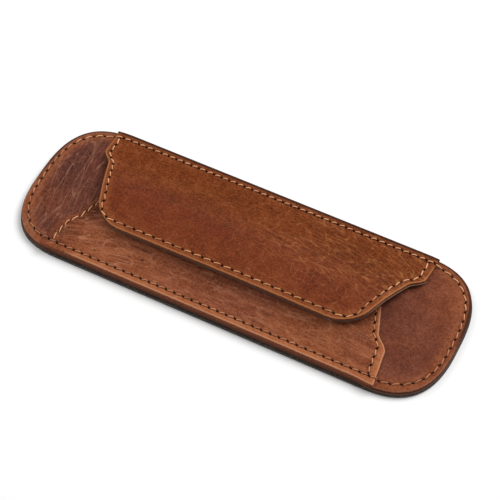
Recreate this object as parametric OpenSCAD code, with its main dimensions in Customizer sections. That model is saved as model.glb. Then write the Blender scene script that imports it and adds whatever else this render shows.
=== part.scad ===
// Flat leather case for a fountain pen.
// A stiffened base with two rounded end lobes carries a sewn-on pocket and a two-ply flap.
// Frame: origin at the centre of the underside, X along the case, +Y towards the flap's fold, +Z up.

/* [Case] */
// Length of the case, end to end
case_length = 199; // [190:1:210]
// Width of the case, front edge to fold edge
case_width = 70; // [68:1:74]
// Length of each rounded end lobe
lobe_length = 30.5; // [26:0.5:34]
// Squareness of the lobes: 2 is an ellipse, higher is squarer
lobe_power = 2.8; // [2.2:0.1:3.6]

/* [Base layers] */
// Thickness of the dark back leather
back_thick = 1.2; // [1:0.1:2]
// Thickness of the stiff board inside the base
board_thick = 0.8; // [0.5:0.1:1.2]
// Thickness of the face leather, which shows on both lobes
face_thick = 2; // [1:0.1:2.4]
// Dark back leather that shows past the brown layers
edge_lip = 0.4; // [0.2:0.1:0.8]
// How far the pocket's pull draws the brown layers in along the front edge
front_draw = 0.8; // [0:0.1:1.2]

/* [Pocket] */
// Width of the pocket where it is sewn to the front edge
pocket_span = 156; // [152:1:158]
// Thickness of the pocket leather
pocket_leather = 1.5; // [1.2:0.1:1.6]
// Offset of the pocket along the case
pocket_shift = -1.8; // [-2:0.1:2]
// Rise of the pocket's front above its sewn margin
pocket_lift = 4.4; // [4.2:0.1:4.5]
// Place of the pocket's mouth ahead of the case's centre line
mouth_y = 2; // [0:0.5:2]
// Depth of the front margin that stays flat on the base
front_margin = 5.5; // [5:0.5:7]
// Distance over which the pocket rises behind its front margin
front_ramp = 15; // [12:1:17]
// Distance over which the pocket rises beside each side seam
side_ramp = 10; // [8:1:14]

/* [Flap] */
// Width of the flap where it is sewn to the fold edge
flap_span = 155; // [150:1:158]
// Offset of the flap along the case
flap_shift = -1.5; // [-2:0.1:2]
// Thickness of the flap's outer leather
flap_leather = 1.5; // [1.2:0.1:1.6]
// Thickness of the flap's lining
flap_lining_thick = 1; // [0.8:0.1:1.1]
// Reach of the flap from the fold edge of the case to its free edge
flap_reach = 52.8; // [51:0.1:55]
// Height of the closed flap's top above the underside
flap_crest = 13.4; // [13.4:0.1:15]
// Depth of the flap's margin that is sewn flat to the base
flap_margin_depth = 5.2; // [5:0.1:6]
// Radius of the free edge's two corners
flap_corner_r = 11; // [7:0.5:12]

/* [Seams] */
// Thickness of the sewing thread
thread_d = 0.6; // [0.5:0.1:0.9]
// Distance from one needle hole to the next
stitch_pitch = 4.2; // [3:0.1:5]
// Distance from one needle hole to the next on the flap
flap_pitch = 4.6; // [3:0.1:5]
// Length of leather left bare at each needle hole
hole_gap = 0.9; // [0.6:0.1:1.2]
// Distance of the perimeter seam from the case's fold edge
fold_seam_inset = 3.5; // [3.2:0.1:4]
// Distance of the perimeter seam from the case's front edge
front_seam_inset = 4.2; // [4:0.1:4.5]
// Distance of the perimeter seam from the end of each lobe
lobe_seam_inset = 2.7; // [2.5:0.1:3.5]
// Distance of the flap's seam from its edge
flap_seam_inset = 2.9; // [2.7:0.1:3.4]

/* [Magnets] */
// Diameter of each closing magnet
magnet_d = 10; // [8:1:12]
// Thickness of each closing magnet
magnet_thick = 0.9; // [0.6:0.1:1]
// Distance of the magnets behind the flap's free edge
magnet_back = 7; // [6.5:0.5:8]

/* [Hidden] */
$fn = 32;

// Heights of the stack
board_z = back_thick;
face_z = board_z + board_thick;
top_z = face_z + face_thick;
margin_top = top_z + pocket_leather;
pocket_top = margin_top + pocket_lift;

// Plan of the case
half_length = case_length / 2;
half_width = case_width / 2;
lobe_start = half_length - lobe_length;
draw_start = pocket_span / 2 - 10;
draw_fade = 11;
lobe_step = 3;

// Ogee sides of the pocket and the flap: a straight stretch, a shoulder, then a taper.
// Each is [half the span, lean, shoulder, step, run of the step, taper]
pocket_right = [pocket_span / 2, 0.12, 16.5, 4.6, 8, 0.36];
pocket_left = [pocket_span / 2, 0.09, 14.3, 4.0, 8, 0.36];
flap_sides = [flap_span / 2, 0.05, 13.2, 4.0, 7.5, 0.37];
plan_step = 1.5;

// Flap: its fold line, its free edge and where its rise ends
fold_gap = 0.2;
fold_clear = 0.3;
margin_front_y = half_width - flap_margin_depth;
flap_start_y = margin_front_y - fold_gap;
flap_end_y = half_width - flap_reach;
flap_start_z = top_z + fold_clear + flap_leather;
flap_rise_run = 32;
flap_slope = 0.015;
flap_rise = flap_crest - flap_start_z - flap_slope * (flap_start_y - flap_end_y);
lining_start_y = flap_start_y - 8.1;
profile_step = 1.8;

// Pocket dome: two slanted side walls, each through a point at the mouth
wall_lean = atan(11.7 / 31);
wall_mouth_half = 60.3;
cut_below = 0.1;
dome_step = 1.25;

// Seams
thread_r = thread_d / 2;
thread_sink = 0.1;
back_groove = 0.75;
back_groove_width = 1.3;
side_seam_front = 3.8;
side_seam_mouth = 2.5;
side_seam_turn = 16;
side_seam_run = 9;
seam_corner_r = 8;

// Magnets: one set into the pocket's flesh side, one between the flap's plies
pocket_magnet_z = pocket_top - pocket_leather;
magnet_y = flap_end_y + magnet_back;
big = 300;

function clamp01(t) = max(0, min(1, t));
function smooth(t) = let (u = clamp01(t)) u * u * (3 - 2 * u);

// One point of the right lobe's edge, for an angle from -90 to 90
function lobe_point(a, inset) = [
    lobe_start + (lobe_length - inset) * pow(cos(a), 2 / lobe_power),
    sign(a) * (half_width - inset) * pow(abs(sin(a)), 2 / lobe_power)
];
function case_outline(inset) = concat(
    [for (a = [-90:lobe_step:90]) lobe_point(a, inset)],
    [for (a = [90:-lobe_step:-90]) let (p = lobe_point(a, inset)) [-p.x, p.y]]
);

// The front edge's draw under the pocket's pull
function draw_in(x) = front_draw * (1 - smooth((abs(x - pocket_shift) - draw_start) / draw_fade));
function brown_outline(inset) = [
    for (p = case_outline(inset)) [p.x, p.y + (p.y < 0 ? draw_in(p.x) : 0)]
];

// Half the width of the pocket or the flap, at a distance from its sewn edge
function ogee_half(d, half, lean, shoulder, step, run, taper) =
    half - lean * min(d, shoulder)
    - step * smooth((d - shoulder) / run)
    - taper * max(0, d - shoulder - run / 2);
function ogee(d, s) = ogee_half(d, s[0], s[1], s[2], s[3], s[4], s[5]);
function pocket_half(d, left) = ogee(d, left == 1 ? pocket_left : pocket_right);
function flap_side(d) = ogee(d, flap_sides);
function corner_cut(d, r) =
    let (c = clamp01((d - flap_reach + r) / r)) r * (1 - sqrt(1 - c * c));
function flap_half(d) = flap_side(d) - corner_cut(d, flap_corner_r);

// Height of the closed flap's top surface
function flap_top(y) =
    let (run = flap_start_y - y)
    flap_start_z + flap_rise * smooth(run / flap_rise_run) + flap_slope * run;
flap_magnet_z = flap_top(magnet_y) - flap_leather - magnet_thick / 2;

// Height of the base's top surface, with the panels' margins on it
function on_pocket(x, y) =
    y < 0 && abs(x - pocket_shift) < pocket_half(y + half_width, x < pocket_shift ? 1 : 0);
function on_flap_margin(x, y) = y > 0 && abs(x - flap_shift) < flap_side(half_width - y);
function base_top(x, y) = on_pocket(x, y) || on_flap_margin(x, y) ? margin_top : top_z;

// A row of stitches laid along a path of points
function run_lengths(p) = [
    for (i = 0, s = 0; i < len(p); s = s + (i < len(p) - 1 ? norm(p[i + 1] - p[i]) : 0), i = i + 1) s
];
function at_length(p, lengths, s) = [
    for (k = [0:2]) lookup(s, [for (i = [0:len(p) - 1]) [lengths[i], p[i][k]]])
];

module stitch(a, b) {
    way = b - a;
    length = norm(way);
    translate(a)
        rotate([0, acos(way.z / length), atan2(way.y, way.x)])
            cylinder(h = length, r = thread_r);
}

module stitch_row(path, nominal_pitch) {
    lengths = run_lengths(path);
    total = lengths[len(path) - 1];
    count = round(total / nominal_pitch);
    pitch = total / count;
    for (k = [0:count - 1])
        stitch(
            at_length(path, lengths, k * pitch + hole_gap / 2),
            at_length(path, lengths, (k + 1) * pitch - hole_gap / 2)
        );
}

module slab(z, thick) {
    translate([0, 0, z]) linear_extrude(thick) children();
}

// A profile in Y and Z, drawn out along the case
module along_case(points) {
    rotate([90, 0, 90]) linear_extrude(big, center = true) polygon(points);
}

// Base

module back_panel() {
    color([0.10, 0.085, 0.08]) difference() {
        slab(0, back_thick) polygon(case_outline(0));
        slab(-1, 1 + back_groove) difference() {
            polygon(edge_seam_line(-back_groove_width / 2));
            polygon(edge_seam_line(back_groove_width / 2));
        }
    }
}

module base_board() {
    color([0.30, 0.17, 0.10]) slab(board_z, board_thick) polygon(brown_outline(edge_lip));
}

module face_panel() {
    color([0.42, 0.20, 0.12]) slab(face_z, face_thick) polygon(brown_outline(edge_lip));
}

// Pocket

module pocket_plan() {
    depth = half_width + mouth_y;
    rows = [for (i = [0:ceil(depth / plan_step)]) min(depth, i * plan_step)];
    right = [for (d = rows) [pocket_half(d, 0), d - half_width]];
    left = [for (i = [len(rows) - 1:-1:0]) [-pocket_half(rows[i], 1), rows[i] - half_width]];
    translate([pocket_shift, 0]) polygon(concat(right, left));
}

// Everything under the pocket's front. foot is its height at the margins and rise its lift behind them
module dome(foot, rise) {
    ramp_y = front_margin - half_width;
    front = [for (v = [0:dome_step:front_ramp]) [ramp_y + v, foot + rise * smooth(v / front_ramp)]];
    side = [for (u = [0:dome_step:side_ramp]) [-u, foot + rise * smooth(u / side_ramp)]];
    side_profile = concat([[big, 0], [big, foot]], side, [[-big, foot + rise], [-big, 0]]);
    intersection() {
        along_case(concat([[-big, 0], [-big, foot]], front, [[big, foot + rise], [big, 0]]));
        side_wall(0) polygon(side_profile);
        side_wall(1) polygon(side_profile);
    }
}

// Draws a side profile out along the pocket's right wall, or its left one
module side_wall(left) {
    translate([pocket_shift, 0, 0]) mirror([left, 0, 0])
        translate([wall_mouth_half, mouth_y, 0]) rotate([0, 0, wall_lean])
            rotate([90, 0, 0]) linear_extrude(big, center = true) children();
}

module magnet_at(z) {
    translate([flap_shift, magnet_y, z]) cylinder(h = magnet_thick, d = magnet_d);
}

module pocket_panel() {
    color([0.55, 0.29, 0.17]) difference() {
        intersection() {
            slab(top_z, pocket_top) intersection() {
                pocket_plan();
                polygon(brown_outline(edge_lip));
            }
            dome(margin_top, pocket_lift);
        }
        dome(top_z - cut_below, pocket_lift + cut_below);
        magnet_at(pocket_magnet_z);
    }
}

module pocket_magnet() {
    color([0.70, 0.70, 0.72]) magnet_at(pocket_magnet_z);
}

function side_seam_inset(d) =
    side_seam_front + (side_seam_mouth - side_seam_front) * smooth((d - side_seam_turn) / side_seam_run);

module pocket_seam(left) {
    depth = half_width + mouth_y - 1;
    path = [
        for (d = [1:plan_step:depth])
            [pocket_half(d, left) - side_seam_inset(d), d - half_width, margin_top + thread_r - thread_sink]
    ];
    color([0.80, 0.55, 0.38]) translate([pocket_shift, 0, 0]) mirror([left, 0, 0])
        stitch_row(path, stitch_pitch);
}

module pocket_seam_left() {
    pocket_seam(1);
}

module pocket_seam_right() {
    pocket_seam(0);
}

// Perimeter seam, through every layer of the base

// One point of the seam on the right lobe, moved inwards by extra
function seam_point(a, extra) =
    let (across = half_width - extra - (a < 0 ? front_seam_inset : fold_seam_inset))
    [
        lobe_start + (lobe_length - lobe_seam_inset - extra) * pow(cos(a), 2 / lobe_power),
        sign(a) * across * pow(abs(sin(a)), 2 / lobe_power)
    ];
function edge_seam_line(extra) = concat(
    [for (a = [-90:lobe_step:90]) seam_point(a, extra)],
    [for (a = [90:-lobe_step:-90]) let (p = seam_point(a, extra)) [-p.x, p.y]]
);

// lift sets the thread's centre off each point's height, which is the base's top or one flat height
module edge_seam(on_top, flat_z, lift) {
    line = edge_seam_line(0);
    path = [for (p = concat(line, [line[0]])) [p.x, p.y, lift + (on_top ? base_top(p.x, p.y) : flat_z)]];
    color([0.80, 0.55, 0.38]) stitch_row(path, stitch_pitch);
}

module edge_seam_top() {
    edge_seam(true, 0, thread_r - thread_sink);
}

module edge_seam_back() {
    edge_seam(false, back_groove, thread_sink - thread_r);
}

// Flap

module flap_plan() {
    corner_d = flap_reach - flap_corner_r;
    rows = concat(
        [for (d = [0:plan_step:corner_d]) d],
        [for (a = [0:10:90]) corner_d + flap_corner_r * sin(a)]
    );
    side = [for (d = rows) [flap_half(d), half_width - d]];
    translate([flap_shift, 0])
        polygon(concat(side, [for (i = [len(side) - 1:-1:0]) [-side[i].x, side[i].y]]));
}

// One ply of the flap, between two depths below its top surface
module flap_ply(upper, lower, start_y) {
    steps = ceil((start_y - flap_end_y) / profile_step);
    rows = [for (i = [0:steps]) start_y + (flap_end_y - start_y) * i / steps];
    intersection() {
        along_case(concat(
            [for (y = rows) [y, flap_top(y) - upper]],
            [for (i = [steps:-1:0]) [rows[i], flap_top(rows[i]) - lower]]
        ));
        slab(0, big) flap_plan();
    }
}

module flap_margin() {
    color([0.50, 0.24, 0.12]) slab(top_z, pocket_leather) intersection() {
        flap_plan();
        polygon(brown_outline(edge_lip));
        translate([-big / 2, margin_front_y]) square([big, big]);
    }
}

module flap_panel() {
    color([0.50, 0.24, 0.12]) difference() {
        flap_ply(0, flap_leather, flap_start_y);
        magnet_at(flap_magnet_z);
    }
}

module flap_lining() {
    color([0.60, 0.36, 0.22]) difference() {
        flap_ply(flap_leather, flap_leather + flap_lining_thick, lining_start_y);
        magnet_at(flap_magnet_z);
    }
}

module flap_magnet() {
    color([0.70, 0.70, 0.72]) magnet_at(flap_magnet_z);
}

// The flap's seam: down one side, round the free edge and up the other
module flap_seam(start, depth, lift) {
    corner_d = flap_reach - flap_seam_inset - seam_corner_r;
    centre_half = flap_side(corner_d) - flap_seam_inset - seam_corner_r;
    side = [for (d = [start:plan_step:corner_d - 1]) [flap_side(d) - flap_seam_inset, d]];
    corner = [
        for (a = [0:9:90]) [centre_half + seam_corner_r * cos(a), corner_d + seam_corner_r * sin(a)]
    ];
    half_path = concat(side, corner);
    last = len(half_path) - 1;
    flat = concat(half_path, [for (i = [last:-1:0]) [-half_path[i].x, half_path[i].y]]);
    path = [
        for (p = flat)
            [p.x + flap_shift, half_width - p.y, flap_top(half_width - p.y) - depth + lift]
    ];
    color([0.80, 0.55, 0.38]) stitch_row(path, flap_pitch);
}

module flap_seam_top() {
    flap_seam(flap_margin_depth + 1, 0, thread_r - thread_sink);
}

module flap_seam_back() {
    flap_seam(half_width - lining_start_y + 1, flap_leather + flap_lining_thick, thread_sink - thread_r);
}

back_panel();
base_board();
face_panel();
pocket_panel();
pocket_magnet();
pocket_seam_left();
pocket_seam_right();
flap_margin();
edge_seam_top();
edge_seam_back();
flap_panel();
flap_lining();
flap_magnet();
flap_seam_top();
flap_seam_back();
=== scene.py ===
"""Looks of the leather pen case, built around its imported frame.

Shapes are worked out in millimetres and stored in metres."""
import math

import bpy
import numpy as np
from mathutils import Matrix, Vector

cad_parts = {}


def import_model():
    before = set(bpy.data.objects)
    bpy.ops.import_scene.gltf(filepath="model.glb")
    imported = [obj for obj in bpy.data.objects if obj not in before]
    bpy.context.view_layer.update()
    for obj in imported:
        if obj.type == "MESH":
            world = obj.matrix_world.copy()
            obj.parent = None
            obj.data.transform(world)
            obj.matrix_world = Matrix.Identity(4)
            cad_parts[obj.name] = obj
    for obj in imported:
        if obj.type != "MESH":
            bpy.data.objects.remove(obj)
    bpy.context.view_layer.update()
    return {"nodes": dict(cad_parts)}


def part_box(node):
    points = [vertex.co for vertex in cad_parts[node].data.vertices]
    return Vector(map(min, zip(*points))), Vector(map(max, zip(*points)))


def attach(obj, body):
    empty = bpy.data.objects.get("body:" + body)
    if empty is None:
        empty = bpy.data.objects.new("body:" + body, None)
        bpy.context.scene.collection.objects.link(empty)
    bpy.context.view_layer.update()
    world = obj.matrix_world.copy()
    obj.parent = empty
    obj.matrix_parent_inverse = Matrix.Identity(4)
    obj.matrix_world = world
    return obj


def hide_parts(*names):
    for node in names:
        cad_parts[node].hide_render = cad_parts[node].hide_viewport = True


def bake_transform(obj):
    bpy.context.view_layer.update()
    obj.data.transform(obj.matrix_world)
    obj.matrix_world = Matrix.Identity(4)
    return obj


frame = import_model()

MM = 0.001


# ------ sizes, read from the frame


def box_mm(node):
    low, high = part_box(node)
    return np.array(low) / MM, np.array(high) / MM


_, BACK_HIGH = box_mm("back_panel")
FACE_LOW, FACE_HIGH = box_mm("face_panel")
POCKET_LOW, POCKET_HIGH = box_mm("pocket_panel")
MARGIN_LOW, MARGIN_HIGH = box_mm("flap_margin")
FLAP_LOW, FLAP_HIGH = box_mm("flap_panel")
_, LINING_HIGH = box_mm("flap_lining")
MAGNET_LOW, MAGNET_HIGH = box_mm("flap_magnet")

HALF_LENGTH, HALF_WIDTH = BACK_HIGH[0], BACK_HIGH[1]
BACK_TOP, FACE_BOTTOM, FACE_TOP = BACK_HIGH[2], FACE_LOW[2], FACE_HIGH[2]
EDGE_LIP = BACK_HIGH[0] - FACE_HIGH[0]
LEATHER = MARGIN_HIGH[2] - FACE_TOP
MARGIN_TOP, POCKET_TOP, FLAP_CREST = MARGIN_HIGH[2], POCKET_HIGH[2], FLAP_HIGH[2]
MOUTH_Y = POCKET_HIGH[1]
POCKET_SHIFT = (POCKET_LOW[0] + POCKET_HIGH[0]) / 2
FLAP_SHIFT = (MARGIN_LOW[0] + MARGIN_HIGH[0]) / 2
POCKET_SPAN = (POCKET_HIGH[0] - POCKET_LOW[0]) / 2
FLAP_SPAN = (MARGIN_HIGH[0] - MARGIN_LOW[0]) / 2
FLAP_REACH = HALF_WIDTH - FLAP_LOW[1]
LINING_START_Y = LINING_HIGH[1]
MAGNET_AT = np.append((MAGNET_LOW + MAGNET_HIGH)[:2] / 2, MAGNET_LOW[2])
MAGNET_RADIUS = (MAGNET_HIGH[0] - MAGNET_LOW[0]) / 2

# The plan's own curves and the lining's thickness, as in the CAD
LINING_THICK = 1.0
LOBE_LENGTH = 30.5
LOBE_POWER = 2.8
LOBE_START = HALF_LENGTH - LOBE_LENGTH
FRONT_DRAW = 0.8
DRAW_START = POCKET_SPAN - 10.0
DRAW_FADE = 11.0
BLEND_FROM = 15.0
BLEND_RUN = 20.0
PULL_RUN = 15.0
FLAP_CORNER = 11.0

# Ogee sides: lean, shoulder, step, run of the step, taper
POCKET_RIGHT = (0.12, 16.5, 4.6, 8.0, 0.36)
POCKET_LEFT = (0.09, 14.3, 4.0, 8.0, 0.36)
FLAP_SIDES = (0.05, 13.2, 4.0, 7.5, 0.37)

# Seams
FOLD_SEAM_INSET = 3.5
FRONT_SEAM_INSET = 4.2
LOBE_SEAM_INSET = 2.7
FLAP_SEAM_INSET = 2.9
FLAP_SEAM_SHIFT = -0.4
POCKET_SEAM_FRONT = 3.8
POCKET_SEAM_MOUTH = 2.5
STRAIGHT_PITCH = 4.05
FOLD_PITCH = 3.75
LOBE_PITCH = 4.75
FLAP_PITCH = 4.6
SLIT_HALF = 1.1
SLIT_WIDTH = 0.36
SLIT_ANGLE = math.radians(-24)
GROOVE_DEPTH = 0.20
GROOVE_WIDTH = 0.75
SLIT_DEPTH = 0.5
SLIT_LIP = 0.09
THREAD_WIDE = 0.28
THREAD_TALL = 0.25
THREAD_INSET = 0.7 * SLIT_HALF

# The pocket's left seam: thinner, slanting stitches that nearly touch
TIGHT_THIN = 0.78
TIGHT_INSET = 0.2
TIGHT_LEAN = -0.5


# ------ numbers


def smooth(t):
    """0 below 0, 1 above 1, and a soft step between."""
    t = np.clip(t, 0.0, 1.0)
    return t * t * (3 - 2 * t)


LATTICE = 256
_tables = {}


def noise(x, y, seed):
    """Smooth random values from 0 to 1, one cell per unit."""
    if seed not in _tables:
        _tables[seed] = np.random.RandomState(seed).rand(LATTICE, LATTICE)
    table = _tables[seed]
    xi, yi = np.floor(x).astype(int), np.floor(y).astype(int)
    fx, fy = smooth(x - xi), smooth(y - yi)
    x0, x1, y0, y1 = xi % LATTICE, (xi + 1) % LATTICE, yi % LATTICE, (yi + 1) % LATTICE
    near = table[x0, y0] * (1 - fx) + table[x1, y0] * fx
    far = table[x0, y1] * (1 - fx) + table[x1, y1] * fx
    return near * (1 - fy) + far * fy


def clouds(x, y, size, seed, octaves):
    """Fractal noise from 0 to 1 whose largest cells are size millimetres."""
    total, weight = 0.0, 0.0
    for k in range(octaves):
        total = total + noise(x / size * 2**k, y / size * 2**k, seed + k) / 2**k
        weight += 1 / 2**k
    return total / weight


def drift(x, y, size, seed, octaves):
    """The same noise, from -0.5 to 0.5."""
    return clouds(x, y, size, seed, octaves) - 0.5


def folds(x, y, along, across, degrees, seed, sharpness):
    """Ridges from 0 to 1 that run in one direction, as creases in leather do."""
    a = math.radians(degrees)
    wander = 2.2 * across * drift(x, y, along, seed + 50, 2)
    u = (x * math.cos(a) + y * math.sin(a)) / along
    v = (-x * math.sin(a) + y * math.cos(a) + wander) / across
    value = 0.65 * noise(u, v, seed) + 0.35 * noise(u * 1.7, v * 2.1, seed + 1)
    return (1 - np.abs(2 * value - 1)) ** sharpness


# ------ plan curves


def lobe_half_length(y, inset):
    """Half the length of the case outline at a distance y from its centre line."""
    share = np.clip(np.abs(y) / (HALF_WIDTH - inset), 0, 1)
    return LOBE_START + (LOBE_LENGTH - inset) * (1 - share**LOBE_POWER) ** (1 / LOBE_POWER)


def lobe_edge_y(x, inset):
    """Distance of the case outline from the centre line at a place along the case."""
    share = np.clip((np.abs(x) - LOBE_START) / (LOBE_LENGTH - inset), 0, 1)
    return (HALF_WIDTH - inset) * (1 - share**LOBE_POWER) ** (1 / LOBE_POWER)


def drawn(x, y):
    """y after the pocket's pull has drawn the front edge in."""
    pull = FRONT_DRAW * (1 - smooth((np.abs(x - POCKET_SHIFT) - DRAW_START) / DRAW_FADE))
    return y + pull * smooth((-y - BLEND_FROM) / PULL_RUN)


def ogee_half(d, half, lean, shoulder, step, run, taper):
    """Half the width of a panel with an ogee side, at a distance d from its sewn edge."""
    straight = half - lean * np.minimum(d, shoulder)
    return straight - step * smooth((d - shoulder) / run) - taper * np.maximum(0, d - shoulder - run / 2)


def pocket_halves(d):
    """Half the pocket's width to its right and left."""
    return [ogee_half(d, POCKET_SPAN, *shape) for shape in (POCKET_RIGHT, POCKET_LEFT)]


def flap_side(d):
    """Half the flap's width, but for its rounded free corners."""
    return ogee_half(d, FLAP_SPAN, *FLAP_SIDES)


def flap_halves(d):
    """Half the flap's width to its right and left, which match."""
    c = np.clip((d - (FLAP_REACH - FLAP_CORNER)) / FLAP_CORNER, 0, 1)
    half = flap_side(d) - FLAP_CORNER * (1 - np.sqrt(1 - c * c))
    return half, half


def outline(front, fold, lobe):
    """A line that far inside the case, evenly dense, from the middle of the front edge anticlockwise."""
    a = np.linspace(-90, 90, 240)
    cos, sin = np.cos(np.radians(a)), np.sin(np.radians(a))
    across = HALF_WIDTH - np.where(a < 0, front, fold)
    x = LOBE_START + (LOBE_LENGTH - lobe) * np.abs(cos) ** (2 / LOBE_POWER)
    y = np.sign(sin) * across * np.abs(sin) ** (2 / LOBE_POWER)
    middle = np.array([[0, front - HALF_WIDTH]])
    right, left = np.stack([x, y], 1), np.stack([-x, y], 1)[::-1]
    return resample(np.concatenate([middle, right, left, middle]), 900)


def lengths_along(path):
    return np.concatenate([[0], np.cumsum(np.linalg.norm(np.diff(path, axis=0), axis=1))])


def resample(path, count):
    """The same path with its points evenly apart."""
    s = lengths_along(path)
    at = np.linspace(0, s[-1], count)
    return np.stack([np.interp(at, s, path[:, k]) for k in range(path.shape[1])], 1)


# ------ seams

FAR = 50.0


class Seam:
    """A line of needle holes. s runs along it, d is the distance to its left, q counts its holes."""

    def __init__(self, path, pitch):
        self.path = path
        self.s = lengths_along(path)
        pitches = np.broadcast_to(pitch, len(path)).astype(float)
        middles = (pitches[1:] + pitches[:-1]) / 2
        steps = np.concatenate([[0], np.cumsum(np.diff(self.s) / middles)])
        self.count = max(1, round(steps[-1]))
        self.q = steps * self.count / steps[-1]

    def pitch_at(self, s):
        return np.interp(s, self.s, np.gradient(self.s) / np.gradient(self.q))

    def place(self, q):
        """s at a count of holes."""
        return np.interp(q, self.q, self.s)

    def at(self, s, d=0.0):
        """Points at s along the seam and d to its left."""
        x, y = (np.interp(s, self.s, self.path[:, k]) for k in (0, 1))
        step = 0.4
        ahead, behind = np.minimum(s + step, self.s[-1]), np.maximum(s - step, 0)
        tx, ty = (np.interp(ahead, self.s, line) - np.interp(behind, self.s, line) for line in self.path.T)
        length = np.hypot(tx, ty)
        return x - ty / length * d, y + tx / length * d

    def coordinates(self, x, y, reach=4.0):
        """s and d of points near the seam; d is far beyond reach elsewhere."""
        px, py = x.ravel(), y.ravel()
        s_out, d_out = np.zeros(len(px)), np.full(len(px), FAR)
        low, high = self.path.min(0) - reach, self.path.max(0) + reach
        near = (px > low[0]) & (px < high[0]) & (py > low[1]) & (py < high[1])
        index = np.flatnonzero(near)
        a, b = self.path[:-1], self.path[1:]
        middle = (a + b) / 2
        for part in np.array_split(index, max(1, len(index) // 4000)):
            p = np.stack([px[part], py[part]], 1)
            k = ((p[:, None, :] - middle[None]) ** 2).sum(2).argmin(1)
            way = b[k] - a[k]
            length = np.linalg.norm(way, axis=1)
            off = p - a[k]
            t = (off * way).sum(1) / length
            side = (way[:, 0] * off[:, 1] - way[:, 1] * off[:, 0]) / length
            past_end = np.where(k == len(a) - 1, np.maximum(0, t - length), 0)
            beyond = np.where(k == 0, np.maximum(0, -t), past_end)
            s_out[part] = self.s[k] + t
            d_out[part] = np.sign(side + 1e-12) * np.hypot(side, beyond)
        return s_out.reshape(x.shape), d_out.reshape(x.shape)

    def slit(self, s, d):
        """1 inside a needle hole, falling to 0 at its edge; and 1 on the lip around it."""
        q = np.interp(s, self.s, self.q)
        local = (q - np.round(q)) * self.pitch_at(s)
        a = local * math.cos(SLIT_ANGLE) + d * math.sin(SLIT_ANGLE)
        b = -local * math.sin(SLIT_ANGLE) + d * math.cos(SLIT_ANGLE)
        size = (a / SLIT_HALF) ** 2 + (b / (SLIT_WIDTH * 1.4)) ** 2
        lip = np.exp(-(((np.sqrt(size) - 1.7) / 0.45) ** 2))
        return 1 - smooth(size * 0.8), lip

    def press(self, s, d):
        """How far the stitching presses the leather down; a small lip rises round each hole."""
        groove = GROOVE_DEPTH * np.exp(-((d / GROOVE_WIDTH) ** 2))
        inside, lip = self.slit(s, d)
        return groove + SLIT_DEPTH * inside - SLIT_LIP * lip


def pocket_path(side):
    """The seam beside the pocket's right edge, for side 1, or its left one, for side -1."""
    end_gap, turn_from, turn_run = 0.8, 16.0, 9.0
    d = np.linspace(FRONT_SEAM_INSET + FRONT_DRAW, HALF_WIDTH + MOUTH_Y - end_gap, 200)
    inset = POCKET_SEAM_FRONT + (POCKET_SEAM_MOUTH - POCKET_SEAM_FRONT) * smooth((d - turn_from) / turn_run)
    half = pocket_halves(d)[0 if side > 0 else 1]
    return np.stack([POCKET_SHIFT + side * (half - inset), d - HALF_WIDTH], 1)


def flap_path():
    """Down the left side of the flap from its margin, round the free edge and up the right side."""
    corner, start_gap, turn_gap = 8.0, 0.4, 1.0
    turn_d = FLAP_REACH - FLAP_SEAM_INSET - corner
    centre = flap_side(turn_d) - FLAP_SEAM_INSET - corner
    d = np.linspace(FOLD_SEAM_INSET + start_gap, turn_d - turn_gap, 200)
    down = np.stack([flap_side(d) - FLAP_SEAM_INSET, d], 1)
    a = np.radians(np.linspace(0, 90, 40))
    around = np.stack([centre + corner * np.cos(a), turn_d + corner * np.sin(a)], 1)
    right = np.concatenate([down, around])
    flat = np.concatenate([right * (-1, 1), right[::-1]])
    return resample(flat * (1, -1) + (FLAP_SHIFT + FLAP_SEAM_SHIFT, HALF_WIDTH), 600)


def edge_seam():
    """The seam round the case, with its own pitch along the fold, along the front and on the lobes."""
    into_lobe, change_run = 2.0, 10.0
    line = outline(FRONT_SEAM_INSET, FOLD_SEAM_INSET, LOBE_SEAM_INSET)
    on_lobe = smooth((np.abs(line[:, 0]) - LOBE_START - into_lobe) / change_run)
    beside = np.where(line[:, 1] > 0, FOLD_PITCH, STRAIGHT_PITCH)
    return Seam(line, beside + (LOBE_PITCH - beside) * on_lobe)


EDGE_SEAM = edge_seam()
FLAP_SEAM = Seam(flap_path(), FLAP_PITCH)
POCKET_SEAM_RIGHT = Seam(pocket_path(1), STRAIGHT_PITCH)
POCKET_SEAM_LEFT = Seam(pocket_path(-1), STRAIGHT_PITCH)


# ------ surfaces, as heights over the plan


def pillow_edge(rim, height, middle, width):
    """The leather's soft ridge between its edge and its seam."""
    return height * np.exp(-(((rim - middle) / width) ** 2))


def rounding(distance, radius):
    """How far a rounded edge has dropped at a distance inside it."""
    inside = np.clip(radius - distance, 0, radius)
    return radius - np.sqrt(np.maximum(radius**2 - inside**2, 0))


def flap_form(x, y):
    """Top of the closed flap: flat on its margin, an S rise over the pocket, and a crowned middle."""
    rise_from, rise_run, slope = 30.0, 32.5, 0.015
    crown, crown_half, crown_from, crown_run = 1.1, 70.0, 8.0, 26.0
    run = np.maximum(rise_from - y, 0)
    rise = FLAP_CREST - MARGIN_TOP - slope * (rise_from + FLAP_REACH - HALF_WIDTH)
    bulge = np.clip(1 - ((x - FLAP_SHIFT) / crown_half) ** 2, 0, 1) * smooth((run - crown_from) / crown_run)
    return MARGIN_TOP + rise * smooth(run / rise_run) + slope * run + crown * bulge


def pocket_form(x, y):
    """Top of the pocket: flat at its seams, lifted behind them."""
    front_margin, front_ramp, side_ramp = 5.2, 17.0, 12.0
    wall_half, wall_lean = 60.5, math.atan(11.7 / 31)
    front = smooth((y + HALF_WIDTH - front_margin) / front_ramp)
    across, up = wall_half - np.abs(x - POCKET_SHIFT), y - MOUTH_Y
    inward = across * math.cos(wall_lean) - up * math.sin(wall_lean)
    return MARGIN_TOP + (POCKET_TOP - MARGIN_TOP) * front * smooth(inward / side_ramp)


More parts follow.
